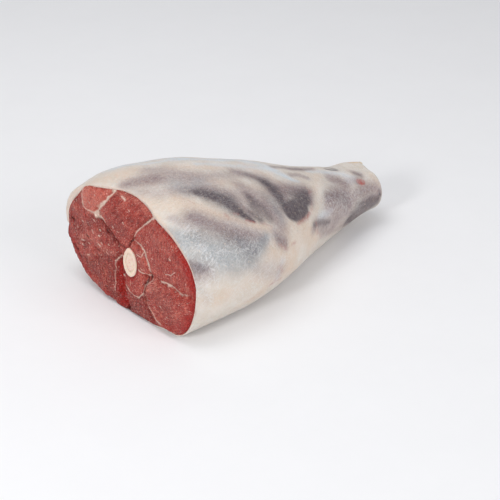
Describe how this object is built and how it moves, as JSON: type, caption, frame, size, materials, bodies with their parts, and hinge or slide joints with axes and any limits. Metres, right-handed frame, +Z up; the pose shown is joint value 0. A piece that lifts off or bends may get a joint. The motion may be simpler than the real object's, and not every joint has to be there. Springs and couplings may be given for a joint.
{
  "type": "raw leg of lamb",
  "caption": "Raw bone-in leg of lamb lying on its side: cut thigh muscles round the sawn bone, fat and fell cover, tapering shank.",
  "frame": {"origin": "centre of the leg's bounding box, at its flat underside", "axes": "+X from the sawn thigh towards the shank's end, +Y towards the side with the heel tendon, +Z up"},
  "size_m": [0.3008, 0.1902, 0.1125],
  "materials": {
    "lean": "wet raw red lamb muscle, close grain, pale fibres and seams",
    "fat": "cream fat under thin translucent fell, with bluish and purple-grey patches of muscle showing through, satin",
    "bone": "cream sawn bone, satin",
    "marrow": "pinkish cream marrow, moist",
    "tendon": "tan cut tendon, dry satin"
  },
  "bodies": {
    "root": {"lean_meat": "lean", "fat_cover": "fat", "leg_bone": "bone", "bone_marrow": "marrow", "heel_tendon": "tendon"}
  },
  "joints": []
}
